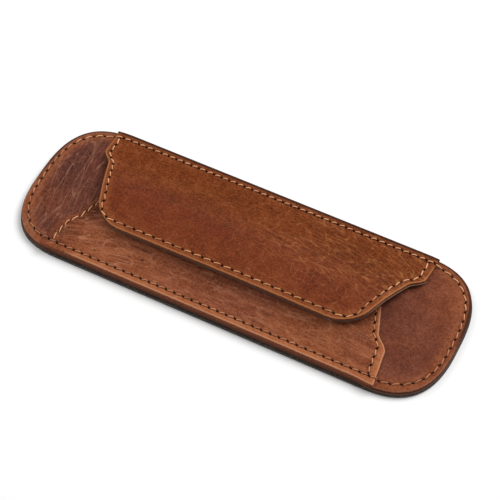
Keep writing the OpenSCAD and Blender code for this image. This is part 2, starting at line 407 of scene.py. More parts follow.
def on_pocket(x, y):
    off = x - POCKET_SHIFT
    right, left = pocket_halves(y + HALF_WIDTH)
    return (y < 0) & (off < right) & (-off < left)


def on_margin(x, y):
    return (y > 0) & (np.abs(x - FLAP_SHIFT) < flap_side(HALF_WIDTH - y))


def cover(x, y):
    """Top of whatever leather the perimeter seam runs over."""
    return np.where(on_pocket(x, y) | on_margin(x, y), MARGIN_TOP, FACE_TOP)


# ------ meshes

# Rows lie close together on a rounded edge, then evenly to past the seam
EDGE_STEPS = np.array([0, 0.03, 0.09, 0.18, 0.3, 0.45, 0.65, 0.9, 1.15])
SEAM_STEP = 0.28
BORDER = 5.6
INSETS = np.concatenate([EDGE_STEPS, np.arange(EDGE_STEPS[-1] + 0.25, BORDER, SEAM_STEP)])


def spread(low, high, step):
    return np.linspace(low, high, max(2, int(round((high - low) / step)) + 1))


def both_borders(low, high, step):
    """Places from low to high, close together near both ends."""
    return np.concatenate([low + INSETS, spread(low + BORDER, high - BORDER, step), (high - INSETS)[::-1]])


def columns_for(right_half, left_half, step, centre_step=None):
    """Places across each row; centre_step is a coarser step, for a hidden middle."""
    centre_share = 0.86
    inner = min(right_half.min(), left_half.min()) - BORDER
    if centre_step:
        turn = centre_share * inner
        core = np.concatenate([spread(0, turn, centre_step)[:-1], spread(turn, inner, step)]) / inner
    else:
        core = spread(0, inner, step) / inner

    def side(half):
        return np.concatenate([core[None] * (half[:, None] - BORDER), (half[:, None] - INSETS)[:, ::-1]], 1)

    return np.concatenate([-side(left_half)[:, :0:-1], side(right_half)], 1)


def edge_distance(x, y, loop):
    """Distance of each point to a closed outline; far points get a rough value."""
    _, d = Seam(loop, STRAIGHT_PITCH).coordinates(x, y)
    return np.abs(d)


def add_object(name, data):
    thing = bpy.data.objects.new(name, data)
    bpy.context.scene.collection.objects.link(thing)
    return thing


def make_mesh(name, verts_mm, faces, attributes):
    """An object from points in millimetres; attributes hold a value or a vector for each point."""
    mesh = bpy.data.meshes.new(name)
    mesh.from_pydata((verts_mm * MM).tolist(), [], faces)
    mesh.polygons.foreach_set("use_smooth", [True] * len(mesh.polygons))
    for key, values in attributes.items():
        values = np.asarray(values, np.float32)
        kind, field = ("FLOAT_VECTOR", "vector") if values.ndim == 2 else ("FLOAT", "value")
        mesh.attributes.new(key, kind, "POINT").data.foreach_set(field, values.ravel())
    mesh.update()
    return add_object(name, mesh)


def grid_faces(rows, cols, start, flip):
    """The quads of a grid whose points begin at start; flip turns them over."""
    i, j = np.meshgrid(np.arange(rows - 1), np.arange(cols - 1), indexing="ij")
    a = (start + i * cols + j).ravel()
    quad = np.stack([a, a + 1, a + cols + 1, a + cols], 1)
    return quad[:, ::-1] if flip else quad


def sheet_solid(name, x, y, top, bottom, upper):
    """A closed sheet of leather between two height fields on one grid, with attributes for its points."""
    rows, cols = x.shape
    size = rows * cols
    verts = np.concatenate([np.stack([x, y, z], -1).reshape(-1, 3) for z in (top, bottom)])
    turns_over = (x[0, 1] - x[0, 0]) * (y[1, 0] - y[0, 0]) < 0
    ring = np.concatenate([
        np.arange(cols),
        np.arange(1, rows) * cols + cols - 1,
        (rows - 1) * cols + np.arange(cols - 2, -1, -1),
        np.arange(rows - 2, 0, -1) * cols,
    ])
    after = np.roll(ring, -1)
    wall = np.stack([ring, ring + size, after + size, after], 1)
    if turns_over:
        wall = wall[:, ::-1]
    sides = [grid_faces(rows, cols, 0, turns_over), grid_faces(rows, cols, size, not turns_over)]
    faces = np.concatenate([*sides, wall]).tolist()
    attributes = {key: np.concatenate(2 * [v.reshape(size, *v.shape[2:])]) for key, v in upper.items()}
    under = np.repeat([0.0, 1.0], size)
    return make_mesh(name, verts, faces, {**attributes, "under": under, "rest": verts})


def sewn(seam, x, y, centre_wrap=False):
    """How far a seam presses its leather down, and an attribute of its count of holes, distance and pitch.

    centre_wrap is for a piece that crosses the seam's start, where the count would jump."""
    s, d = seam.coordinates(x, y)
    q = np.interp(s, seam.s, seam.q)
    if centre_wrap:
        q = np.where(q > seam.count / 2, q - seam.count, q)
    return seam.press(s, d), np.stack([q, d, seam.pitch_at(s)], -1)


def no_seam(x):
    """The same attribute for a piece with no second seam."""
    return np.stack([np.zeros_like(x), np.full_like(x, FAR), np.full_like(x, STRAIGHT_PITCH)], -1)


def patch(x, y, at, size):
    """1 in the middle of a soft round patch, falling to 0 outside it."""
    return np.exp(-(((x - at[0]) / size[0]) ** 2 + ((y - at[1]) / size[1]) ** 2))


def patches(x, y, spots):
    """Soft patches added up, each given by its middle, its size and its weight."""
    return sum(weight * patch(x, y, at, size) for at, size, weight in spots)


def flow(x, y, slope_from, slope_to, x_from, x_to):
    """Coordinates that follow creases whose slope changes from one place to another along the case."""
    at = np.linspace(-HALF_LENGTH, HALF_LENGTH, 400)
    slope = slope_from + (slope_to - slope_from) * smooth((at - x_from) / (x_to - x_from))
    rise = np.concatenate([[0], np.cumsum((slope[1:] + slope[:-1]) / 2 * np.diff(at))])
    return np.stack([x, y - np.interp(x, at, rise), np.zeros_like(x)], -1)


# ------ leather pieces

# Patches where the leather is lighter or darker, or has more or less of the cool purple-grey tint
FACE_TONES = [
    ((90, 18), (10, 14), 0.14),
    ((-88, 8), (5, 9), -0.16),
    ((88, -14), (9, 8), -0.12),
    ((-90, -14), (6, 9), 0.10),
]
FACE_COOL_TINTS = [((90, 18), (12, 14), -0.5), ((-90, -14), (7, 10), -0.4)]
POCKET_TONES = [((-8, -17), (22, 5), -0.12), ((-60, -9), (9, 6), -0.22)]
POCKET_COOL_TINTS = [((-60, -9), (12, 8), 0.4), ((5, -17), (26, 5), 0.3)]
FLAP_TONES = [((-5, 25), (60, 5), -0.05), ((42, 16), (24, 8), -0.08)]
FLAP_COOL_TINTS = [((-48, 4), (14, 7), 1.0), ((-5, 0), (16, 6), 1.0), ((38, -4), (16, 5), 0.7)]


def face_leather():
    """The base's face: plain grain leather that shows on both lobes."""
    inset = EDGE_LIP
    rows = both_borders(-(HALF_WIDTH - inset), HALF_WIDTH - inset, step=0.55)
    half = lobe_half_length(rows, inset)
    x = columns_for(half, half, step=0.5, centre_step=2.5)
    y = drawn(x, np.repeat(rows[:, None], x.shape[1], 1))
    loop = outline(inset, inset, inset)
    loop[:, 1] = drawn(loop[:, 0], loop[:, 1])
    rim = edge_distance(x, y, loop)
    press, seam = sewn(EDGE_SEAM, x, y)
    pillow = pillow_edge(rim, 0.16, 1.6, 0.9)
    swell = 0.35 * drift(x, y, 28, 11, 2)
    left = smooth((-x - 55) / 10)
    crease = 0.10 * folds(x, y, 34, 3.4, -86, 21, 3.0) * left * smooth((rim - 2) / 5)
    fine = 0.03 * drift(x, y, 1.6, 14, 2)
    form = FACE_TOP - 0.1 + pillow + swell * smooth((rim - 4) / 8)
    top = form - rounding(rim, 0.85) - press + (fine - crease) * smooth((rim - 0.5) / 1.5)
    hidden = on_pocket(x, y) | on_margin(x, y)
    top = np.where(hidden, np.minimum(top, FACE_TOP - 0.05), top)
    bottom = np.full_like(top, FACE_BOTTOM)
    strip = 1 - smooth((rim - 3.2) / 4.5)
    # The strip between rim and seam is lighter: partly the leather's own colour, partly painted highlight
    # on its raised pillow
    tone = 0.50 - 0.17 * left + 0.20 * drift(x, y, 15, 31, 3) + (0.20 + 0.27 * left) * strip
    cool_tint = 0.85 - 0.35 * smooth(x / 60) + 0.5 * drift(x, y, 13, 33, 2)
    upper = {
        "tone": tone + patches(x, y, FACE_TONES), "crease": 0.7 * left, "web": 0.2 * left + 0.10,
        "cool_tint": np.clip(cool_tint + patches(x, y, FACE_COOL_TINTS), 0, 1) * (1 - strip), "grit": 0.5 * left,
        # Rims darken towards the back of the case
        # The pale rim line: partly wear, partly painted highlight, along the front only
        "wear_and_highlight": 0.45 * smooth((2 - y) / 15), "dark_rim": smooth((y + 8) / 16),
        "stain": smooth((np.abs(x) - 72) / 4), "rim": rim, "seam_a": seam, "seam_b": no_seam(x),
        "flow": np.stack([-y, x + 2.5 * np.sin(y / 12), np.zeros_like(x)], -1),
    }
    piece = sheet_solid("face_leather", x, y, top, bottom, upper)
    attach(piece, "case_base")
    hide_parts("face_panel")
    return piece


def back_leather():
    """The dark back, whose edge shows below the brown layers."""
    clear_of_floor = 0.05
    rows = both_borders(-HALF_WIDTH, HALF_WIDTH, step=1.1)
    half = lobe_half_length(rows, 0.0)
    x = columns_for(half, half, step=1.1)
    y = np.repeat(rows[:, None], x.shape[1], 1)
    rim = edge_distance(x, y, outline(0.0, 0.0, 0.0))
    _, seam = sewn(EDGE_SEAM, x, y)
    d = seam[..., 1]
    grain = 0.05 * drift(x, y, 2.2, 41, 2) * smooth((rim - 0.5) / 2)
    shallow = 0.16 * clouds(x, y, 24, 43, 2) * smooth((rim - 6) / 10)
    groove = BACK_GROOVE * np.exp(-((d / 0.8) ** 4))
    top = BACK_TOP - rounding(rim, 0.4)
    hollow = groove + shallow * (1 - np.exp(-((d / 2) ** 2)))
    bottom = np.maximum(rounding(rim, 0.45) + hollow + clear_of_floor - grain, 0.0)
    piece = sheet_solid("back_leather", x, y, top, bottom, {"seam_a": seam})
    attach(piece, "case_base")
    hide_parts("back_panel")
    return piece


def panel_loop(halves, shift, end_d, edge_of, sign):
    """Closed outline of the pocket or the flap; sign is the way in y from its sewn edge.

    halves gives the widths to its right and left, and edge_of moves its rows on to the case's edge."""
    d = np.linspace(0, end_d, 400)
    right_half, left_half = halves(d)
    side_y = sign * (d - HALF_WIDTH)
    right = np.stack([shift + right_half, side_y], 1)
    left = np.stack([shift - left_half, side_y], 1)
    sewn_edge = np.linspace(left[0], right[0], 300)
    free_edge = np.linspace(right[-1], left[-1], 300)
    loop = np.concatenate([sewn_edge, right[1:], free_edge[1:], left[-2::-1]])
    loop[:, 1] = edge_of(loop[:, 0], loop[:, 1])
    return resample(loop, 1500)


def pocket_edge(x, y):
    """Moves the pocket's front rows on to the drawn-in outline of the brown layers."""
    return drawn(x, y) + (HALF_WIDTH - lobe_edge_y(x, EDGE_LIP)) * smooth((-y - BLEND_FROM) / BLEND_RUN)


def flap_edge(x, y):
    """Moves the flap's sewn rows on to the outline of the brown layers."""
    return y + (lobe_edge_y(x, EDGE_LIP) - HALF_WIDTH) * smooth((y - BLEND_FROM) / BLEND_RUN)


def pocket_leather():
    """The pocket's front: sewn along the front edge and both ogee sides, lifted between them."""
    rows = both_borders(0.0, HALF_WIDTH + MOUTH_Y, step=0.4)
    x = POCKET_SHIFT + columns_for(*pocket_halves(rows), step=0.5)
    y = pocket_edge(x, np.repeat(rows[:, None], x.shape[1], 1) - HALF_WIDTH)
    loop = panel_loop(pocket_halves, POCKET_SHIFT, HALF_WIDTH + MOUTH_Y, pocket_edge, 1)
    rim = edge_distance(x, y, loop)
    front_press, front_seam = sewn(EDGE_SEAM, x, y, centre_wrap=True)
    on_right = x > POCKET_SHIFT
    right_press, right_seam = sewn(POCKET_SEAM_RIGHT, x, y)
    left_press, left_seam = sewn(POCKET_SEAM_LEFT, x, y)
    side_seam = np.where(on_right[..., None], right_seam, left_seam)
    press = front_press + np.where(on_right, right_press, left_press)
    lifted = smooth((pocket_form(x, y) - MARGIN_TOP) / 2.0)
    to_left_edge = x - POCKET_SHIFT + pocket_halves(y + HALF_WIDTH)[1]
    outer = 1 - smooth((to_left_edge - 2.4) / 0.9)
    pillow = pillow_edge(rim, 0.14, 1.7, 0.8)
    swell = 0.55 * drift(x, y, 30, 51, 2) * lifted
    fan = flow(x, y, 0.30, 0.01, -80, -25)
    left = smooth((-x - 15) / 45)
    u, v = fan[..., 0], fan[..., 1]
    wrinkle = folds(u, v, 36, 3.6, 0, 61, 3.5) * (0.35 + 0.65 * left)
    wrinkle += 0.45 * folds(u, v, 22, 2.0, 0, 71, 3.0)
    wrinkle *= (1 - outer) * smooth((rim - 2.5) / 3)
    fine = 0.04 * drift(x, y, 1.3, 64, 2)
    detail = fine * smooth((rim - 0.6) / 2.5) + 0.20 * (wrinkle - 0.4)
    form = pocket_form(x, y) - 0.15 + pillow + swell
    top = form - rounding(rim, 0.6) - press + detail
    bottom = np.maximum(pocket_form(x, y) - LEATHER + swell, FACE_TOP) + rounding(rim, 0.3)
    tone = 0.45 + 0.22 * drift(x, y, 20, 66, 3) + 0.12 * drift(x * 0.25, y, 5, 69, 2)
    tone += 0.06 * smooth((x - 5) / 20) - 0.14 * smooth((x - 48) / 12) - 0.45 * (1 - smooth((x + 74) / 14))
    # Lighter near the rim: partly the leather's own colour, partly painted highlight on the raised strip
    tone += 0.50 * (1 - smooth((rim - 2) / 3)) - 0.10 * outer + 0.42 * (wrinkle - 0.25)
    cool_tint = 0.40 + 0.5 * drift(x, y, 18, 68, 2) + patches(x, y, POCKET_COOL_TINTS)
    upper = {
        "tone": tone + patches(x, y, POCKET_TONES), "crease": (0.4 + 0.2 * left) * (1 - outer),
        "cool_tint": np.clip(cool_tint, 0, 1) * smooth((rim - 2.5) / 3) + 0.8 * outer, "grit": 0.7 * (1 - outer),
        # The pale rim line: partly wear, partly painted highlight, left off at the pocket's left end
        "wear_and_highlight": smooth((x + 70) / 10), "dark_rim": np.zeros_like(x), "stain": np.zeros_like(x),
        "rim": rim, "seam_a": front_seam, "seam_b": side_seam, "web": np.full_like(x, 0.15), "flow": fan,
    }
    piece = sheet_solid("pocket_leather", x, y, top, bottom, upper)
    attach(piece, "case_base")
    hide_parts("pocket_panel")
    return piece


def flap_grid(start_d, step):
    """The plan of a layer of the flap, from start_d past its sewn edge, and how far in its points are."""
    rows = both_borders(start_d, FLAP_REACH, step)
    x = FLAP_SHIFT + columns_for(*flap_halves(rows), step=0.5)
    y = flap_edge(x, HALF_WIDTH - np.repeat(rows[:, None], x.shape[1], 1))
    return x, y, edge_distance(x, y, panel_loop(flap_halves, FLAP_SHIFT, FLAP_REACH, flap_edge, -1))


def flap_swell(x, y):
    """The flap's own soft unevenness, fading out at its sewn margin."""
    free = smooth((24 - y) / 20)
    return (0.5 * drift(x, y, 34, 81, 2) - 0.15) * free


def flap_leather():
    """The flap's outer leather, in one piece with its sewn margin."""
    x, y, rim = flap_grid(0.0, step=0.45)
    margin_press, margin_seam = sewn(EDGE_SEAM, x, y)
    own_press, own_seam = sewn(FLAP_SEAM, x, y)
    pillow = pillow_edge(rim, 0.16, 1.6, 0.8)
    right = smooth((x + 15) / 45)
    network = 0.07 * folds(x, y, 16, 3.6, 62, 91, 3.0) + 0.06 * folds(x, y, 18, 4.0, 38, 93, 3.0)
    network = network * (0.25 + 0.75 * right)
    fan = flow(x, y, 0.03, -0.28, -30, 60)
    creases = 0.12 * folds(fan[..., 0], fan[..., 1], 34, 2.8, 0, 97, 2.4) * right * smooth((y + 2) / 10)
    fine = 0.035 * drift(x, y, 1.3, 99, 2)
    detail = (fine - network - creases) * smooth((rim - 0.6) / 2.5)
    form = flap_form(x, y) + flap_swell(x, y)
    top = form - 0.14 + pillow - rounding(rim, 0.55) - margin_press - own_press + detail
    bottom = np.maximum(form - LEATHER, FACE_TOP) + 0.02 + rounding(rim, 0.2)
    strip = 1 - smooth((rim - 2.5) / 3.0)
    cool = patches(x, y, FLAP_COOL_TINTS)
    # The strip between rim and seam is lighter: partly the leather's own colour, partly painted highlight
    # on its raised pillow
    tone = 0.46 + 0.18 * drift(x, y, 22, 101, 3) + 0.18 * strip - 0.10 * cool
    tone += 0.06 * smooth((12 - y) / 12)
    cool_tint = 0.62 * smooth((19 - y + 5 * drift(x, y, 30, 103, 2)) / 14) + 0.35 * cool
    cool_tint += 0.4 * drift(x, y, 16, 105, 2)
    upper = {
        "tone": tone + patches(x, y, FLAP_TONES), "cool_tint": np.clip(cool_tint, 0, 1) * (1 - strip),
        "crease": (0.10 + 0.56 * right) * smooth((y + 8) / 14), "grit": 0.3 + 0.6 * smooth((y - 1) / 9),
        # The pale rim line: partly wear, partly painted highlight, all round but along the fold
        "web": 0.22 + 0.24 * right * smooth((24 - y) / 10), "wear_and_highlight": smooth((32 - y) / 4), "flow": fan,
        # The rim darkens along the fold
        "dark_rim": smooth((y - 32.7) / 0.6), "stain": smooth((y - 33.0) / 0.6),
        "rim": rim, "seam_a": margin_seam, "seam_b": own_seam,
    }
    piece = sheet_solid("flap_leather", x, y, top, bottom, upper)
    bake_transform(piece)
    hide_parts("flap_margin", "flap_panel")
    return piece


def flap_lining():
    """The flap's lining, whose edge shows as a light line under the outer leather."""
    x, y, rim = flap_grid(HALF_WIDTH - LINING_START_Y, step=0.8)
    press, own_seam = sewn(FLAP_SEAM, x, y)
    form = flap_form(x, y) + flap_swell(x, y)
    top = form - LEATHER + rounding(rim, 0.12)
    bottom = form - LEATHER - LINING_THICK + rounding(rim, 0.4) + 0.5 * press
    bottom = bottom + 0.05 * drift(x, y, 2.0, 111, 2)
    from_magnet = np.hypot(x - MAGNET_AT[0], y - MAGNET_AT[1]) - MAGNET_RADIUS
    over_magnet = 1 - smooth((from_magnet - 0.3) / 2.2)
    magnet_cover = 0.35
    bottom = bottom + (np.minimum(bottom, MAGNET_AT[2] - magnet_cover) - bottom) * over_magnet
    upper = {
        "tone": 0.5 + 0.3 * drift(x, y, 15, 113, 3), "rim": rim, "seam_a": own_seam,
        # Where the edge stays pale: the lining's right end
        "wear_and_highlight": smooth((x - 50) / 6) * smooth((y + 9) / 5),
    }
    piece = sheet_solid("flap_lining_leather", x, y, top, bottom, upper)
    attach(piece, "flap")
    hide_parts("flap_lining")
    return piece


# ------ thread

RING = 10
RINGS = 15
PLY_TURNS = 2.6
PLY_DEPTH = 0.13
THREAD_DIP = 0.5
BACK_GROOVE = 0.62


def thread_run(name, seam, height, skip=0, side=1, tight=False):
    """The stitches of a seam, each rising out of one slit and going down into the next.

    height gives the leather's surface, skip leaves out stitches at both ends, side is -1 for a run on
    an underside, and tight is for fine stitches that slant and nearly touch."""
    u = np.linspace(0, 1, RINGS)
    around = np.linspace(0, 2 * math.pi, RING, endpoint=False)
    inset, lean = THREAD_INSET * math.cos(SLIT_ANGLE), THREAD_INSET * math.sin(SLIT_ANGLE)
    if tight:
        inset, lean = TIGHT_INSET, TIGHT_LEAN
    thin = TIGHT_THIN if tight else 1.0
    verts, faces, along = [], [], []
    for k in range(skip, seam.count - skip):
        start_s, end_s = seam.place(k) + inset, seam.place(k + 1) - inset
        s = start_s + (end_s - start_s) * u
        d = lean * (1 - 2 * u) * side
        arch = np.sin(math.pi * u) ** 0.35
        cx, cy = seam.at(s, d)
        surface = height(cx, cy)
        surface = np.maximum(surface, surface[0] + (surface[-1] - surface[0]) * smooth(u))
        lift = (THREAD_TALL * 0.95 + THREAD_DIP) * arch - THREAD_DIP - GROOVE_DEPTH * 0.8
        centre = np.stack([cx, cy, surface + side * lift], 1)
        way = np.gradient(centre, axis=0)
        way /= np.linalg.norm(way, axis=1)[:, None]
        across = np.cross([0, 0, 1.0], way)
        across /= np.linalg.norm(across, axis=1)[:, None]
        up = np.cross(way, across)
        twist = PLY_TURNS * 2 * math.pi * u
        ply = 1 + PLY_DEPTH * np.cos(2 * (around - twist[:, None]))
        taper = 0.75 + 0.25 * np.sin(math.pi * u)[:, None]
        wide = THREAD_WIDE * thin * taper * ply * np.cos(around)
        tall = THREAD_TALL * taper * ply * np.sin(around)
        ring = centre[:, None] + across[:, None] * wide[..., None] + up[:, None] * tall[..., None]
        base = sum(len(v) for v in verts)
        verts.append(ring.reshape(-1, 3))
        along.append(np.repeat(u + k, RING))
        i, j = np.meshgrid(np.arange(RINGS - 1), np.arange(RING), indexing="ij")
        a, b = (i * RING + j).ravel(), (i * RING + (j + 1) % RING).ravel()
        faces += (base + np.stack([a, b, b + RING, a + RING], 1)).tolist()
        faces.append((base + np.arange(RING)[::-1]).tolist())
        faces.append((base + (RINGS - 1) * RING + np.arange(RING)).tolist())
    verts = np.concatenate(verts)
    fresh = np.ones(len(verts)) if tight else smooth((verts[:, 1] - 5) / 20)
    return make_mesh(name, verts, faces, {"along": np.concatenate(along), "rest": verts, "fresh": fresh})


def level(z):
    """A flat surface for a run of stitches."""
    return lambda x, y: np.full_like(x, z)


def edge_thread():
    piece = thread_run("edge_thread", EDGE_SEAM, cover)
    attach(piece, "case_base")
    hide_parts("edge_seam_top")
    return piece


def edge_thread_back():
    piece = thread_run("edge_thread_back", EDGE_SEAM, level(BACK_GROOVE), side=-1)
    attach(piece, "case_base")
    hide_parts("edge_seam_back")
    return piece


def pocket_threads():
    pieces = []
    for name, seam in (("left", POCKET_SEAM_LEFT), ("right", POCKET_SEAM_RIGHT)):
        piece = thread_run("pocket_thread_" + name, seam, level(MARGIN_TOP - 0.1), tight=name == "left")
        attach(piece, "case_base")
        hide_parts("pocket_seam_" + name)
        pieces.append(piece)
    return pieces


def flap_thread():
    def height(x, y):
        return flap_form(x, y) + flap_swell(x, y) - 0.1

    piece = thread_run("flap_thread", FLAP_SEAM, height)
    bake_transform(piece)
    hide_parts("flap_seam_top")
    return piece


def flap_thread_back():
    """The same seam on the flap's underside, from just past the sewn margin."""
    def height(x, y):
        outer = np.maximum(flap_form(x, y) + flap_swell(x, y) - LEATHER, FACE_TOP)
        return np.where(y < LINING_START_Y, outer - LINING_THICK, outer) + 0.1

    piece = thread_run("flap_thread_back", FLAP_SEAM, height, skip=1, side=-1)
    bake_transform(piece)
    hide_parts("flap_seam_back")
    return piece


# ------ materials


class Nodes:
    """Short calls for building one material's node tree."""

    def __init__(self, name):
        self.material = bpy.data.materials.new(name)
        self.material.use_nodes = True
        self.tree = self.material.node_tree
        self.tree.nodes.clear()
        self.shader = self.node("BsdfPrincipled")
        self.node("OutputMaterial", Surface=self.shader.outputs[0])

    def link(self, value, socket):
        """Joins another node's output to the socket, or sets a plain value on it."""
        if isinstance(value, bpy.types.NodeSocket):
            self.tree.links.new(value, socket)
        else:
            socket.default_value = value

    def node(self, kind, **inputs):
        node = self.tree.nodes.new("ShaderNode" + kind)
        for name, value in inputs.items():
            self.link(value, node.inputs[name])
        return node

    def finished(self, colour, rough, **others):
        """The material, once its shader's inputs are joined or set; _ in a name is a space."""
        for name, value in {"Base_Color": colour, "Roughness": rough, **others}.items():
            self.link(value, self.shader.inputs[name.replace("_", " ")])
        return self.material

    def attribute(self, name, part="Fac"):
        node = self.node("Attribute")
        node.attribute_name = name
        return node.outputs[part]

    def math(self, operation, a, b=0.0, c=0.0, clamp=False):
        node = self.node("Math")
        node.operation = operation
        node.use_clamp = clamp
        for socket, value in zip(node.inputs, (a, b, c)):
            self.link(value, socket)
        return node.outputs[0]

    def times(self, a, b):
        return self.math("MULTIPLY", a, b)

    def vary(self, value, noise, amount):
        """The value, moved up and down by a noise that runs from 0 to 1."""
        return self.math("MULTIPLY_ADD", self.math("SUBTRACT", noise, 0.5), amount, value)

    def range(self, value, low, high, to_low=0.0, to_high=1.0):
        """A soft step from to_low to to_high, as the value goes from low to high."""
        node = self.node("MapRange")
        node.interpolation_type = "SMOOTHSTEP"
        for socket, item in zip(node.inputs[:5], (value, low, high, to_low, to_high)):
            self.link(item, socket)
        return node.outputs[0]

    def mapped(self, vector, scale):
        return self.node("Mapping", Vector=vector, Scale=scale).outputs[0]

    def noise(self, vector, scale, detail=3.0, roughness=0.55):
        node = self.node("TexNoise", Vector=vector, Scale=scale, Detail=detail, Roughness=roughness)
        return node.outputs["Fac"]

    def warped(self, vector, scale, amount):
        """The vector, pushed about by noise so that nothing laid out on it runs straight."""
        noise = self.node("TexNoise", Vector=vector, Scale=scale)
        push = self.node("VectorMath")
        push.operation = "MULTIPLY_ADD"
        for socket, value in zip(push.inputs, (noise.outputs["Color"], (amount, amount, 0), vector)):
            self.link(value, socket)
        return push.outputs[0]

    def cells(self, vector, scale, feature="F1"):
        node = self.node("TexVoronoi", Vector=vector, Scale=scale)
        node.feature = feature
        return node.outputs["Distance"]

    def crease_lines(self, vector, stretch, width, warp):
        """Lines between long cells, each fading in and out along its way."""
        laid = self.warped(self.mapped(vector, stretch), 1.1, warp)
        line = self.range(self.cells(laid, 1.0, "DISTANCE_TO_EDGE"), 0.2 * width, width, 1.0, 0.0)
        return self.times(line, self.range(self.noise(laid, 0.9, 1.0), 0.36, 0.54))

    def mix(self, share, a, b):
        node = self.node("Mix")
        node.data_type = "RGBA"
        for place, value in ((0, share), (6, a), (7, b)):
            self.link(value, node.inputs[place])
        return node.outputs[2]

    def tint(self, colour, share, other, strength=1.0):
        """The colour, turned towards another one as far as share and strength say."""
        return self.mix(self.times(share, strength), colour, (*other, 1))

    def ramp(self, value, stops):
        node = self.node("ValToRGB", Fac=value)
        elements = node.color_ramp.elements
        while len(elements) < len(stops):
            elements.new(0.5)
        for element, (place, colour) in zip(elements, stops):
            element.position = place
            element.color = (*colour, 1)
        return node.outputs[0]

    def bump(self, height, distance, strength, normal=None):
        node = self.node("Bump", Height=height, Distance=distance, Strength=strength)
        if normal is not None:
            self.link(normal, node.inputs["Normal"])
        return node.outputs[0]

    def slits(self, name):
        """1 inside the needle holes of the seam that the attribute holds, where shade is painted, and 1
        near the seam's line.
        """
        s, d, pitch = self.node("SeparateXYZ", Vector=self.attribute(name, "Vector")).outputs
        local = self.math("SUBTRACT", self.math("FRACT", self.math("ADD", s, 0.5)), 0.5)
        local = self.times(local, pitch)
        cos, sin = math.cos(SLIT_ANGLE), math.sin(SLIT_ANGLE)
        a = self.math("MULTIPLY_ADD", local, cos, self.times(d, sin))
        b = self.math("MULTIPLY_ADD", local, -sin, self.times(d, cos))
        a, b = self.math("DIVIDE", a, SLIT_HALF), self.math("DIVIDE", b, SLIT_WIDTH)
        size = self.math("ADD", self.times(a, a), self.times(b, b))
        inside = self.range(size, 0.6, 1.5, 1.0, 0.0)
        return inside, self.range(self.math("ABSOLUTE", d), 0.3, 1.6, 1.0, 0.0)


def grain_leather(name, warm, cool, light, cross=1.0, dark_rim_reach=1.6):
    """Waxed pull-up leather with light creases, rims rubbed pale and given a painted highlight, cut edges,
    and needle holes painted dark as shade.

    warm and cool are colour ramps over the same tones. light is the colour of creases and of the rims' pale
    line, partly rubbing and partly painted highlight. A larger cross makes the creases shorter, and the
    last argument is how far in from the rim the darkened band goes."""
    n = Nodes(name)
    place, along = n.attribute("rest", "Vector"), n.attribute("flow", "Vector")
    mottle = n.noise(place, 0.16, 4.0, 0.6)
    speck = n.noise(place, 1.1, 3.0, 0.7)
    wisp = n.noise(n.warped(n.mapped(along, (0.50, 1.1, 1.0)), 0.4, 1.0), 1.0, 3.0, 0.7)
    value = n.vary(n.vary(n.attribute("tone"), mottle, 0.70), speck, 1.3)
    value = n.vary(value, wisp, n.times(n.attribute("grit"), 1.3))
    colour = n.mix(n.attribute("cool_tint"), n.ramp(value, warm), n.ramp(value, cool))

    long_line = n.crease_lines(along, (0.056 * cross, 0.42, 1.0), 0.066, 0.45)
    short_line = n.crease_lines(along, (0.11 * cross, 0.66, 1.0), 0.062, 0.5)
    here = n.range(n.noise(place, 0.11, 2.0), 0.38, 0.60)
    short_line = n.times(short_line, n.times(here, 0.65))
    creases = n.times(n.math("MAXIMUM", long_line, short_line), n.attribute("crease"))
    web = n.times(n.crease_lines(place, (0.26, 0.26, 0.26), 0.045, 0.7), n.attribute("web"))
    lines = n.math("MAXIMUM", creases, web)
    colour = n.tint(colour, lines, light, 0.75)

    fray = n.vary(n.attribute("rim"), speck, 0.3)
    # A pale line just inside the rim: partly wear, partly painted highlight
    worn_and_highlit = n.times(n.range(fray, 0.10, 0.30), n.range(fray, 0.55, 1.0, 1.0, 0.0))
    colour = n.tint(colour, n.times(worn_and_highlit, n.attribute("wear_and_highlight")), light, 0.8)
    cut = n.range(fray, 0.05, 0.20, 1.0, 0.0)
    fibre = n.noise(place, 1.6, 3.0)

    def fibres(tint):
        return n.ramp(fibre, [(0.3, [0.6 * c for c in tint]), (0.7, [1.3 * c for c in tint])])

    colour = n.mix(cut, colour, n.mix(n.attribute("stain"), fibres(EDGE_BROWN), fibres(EDGE_DARK)))
    # Rims darkened along the case's back and the flap's fold
    dark_rim_share = n.times(n.range(fray, dark_rim_reach - 0.7, dark_rim_reach, 1.0, 0.0), n.attribute("dark_rim"))
    colour = n.tint(colour, dark_rim_share, EDGE_DARK_RIM, 0.85)
    colour = n.tint(colour, n.range(n.attribute("under"), 0.55, 0.95), FLESH)

    slit_a, near_a = n.slits("seam_a")
    slit_b, near_b = n.slits("seam_b")
    # Painted shade in the second seam's holes, weaker where the pale rim line is left off
    slit_b = n.times(slit_b, n.math("MULTIPLY_ADD", n.attribute("wear_and_highlight"), 0.85, 0.15))
    slit = n.math("MAXIMUM", slit_a, slit_b)
    colour = n.tint(colour, n.math("MAXIMUM", near_a, near_b), warm[0][1], 0.22)
    # Needle holes painted near black: painted shade inside the holes
    colour = n.tint(colour, slit, (0.006, 0.002, 0.001), 0.97)

    grain = n.math("MULTIPLY_ADD", n.noise(place, 2.6, 3.0, 0.65), 0.9, n.times(n.cells(place, 2.2), 0.5))
    normal = n.bump(grain, 0.00020, 0.9)
    normal = n.bump(n.range(n.cells(place, 1.5), 0.0, 0.35), 0.00005, 0.5, normal)
    normal = n.bump(n.math("SUBTRACT", 1.0, lines), 0.00016, 0.8, normal)
    normal = n.bump(n.math("SUBTRACT", 1.0, slit), 0.0005, 0.9, normal)
    rough = n.math("MULTIPLY_ADD", lines, 0.10, n.vary(0.5, mottle, 0.25))
    rough = n.math("MULTIPLY_ADD", cut, 0.12, rough, clamp=True)
    return n.finished(colour, rough, Normal=normal, Specular_IOR_Level=0.06)


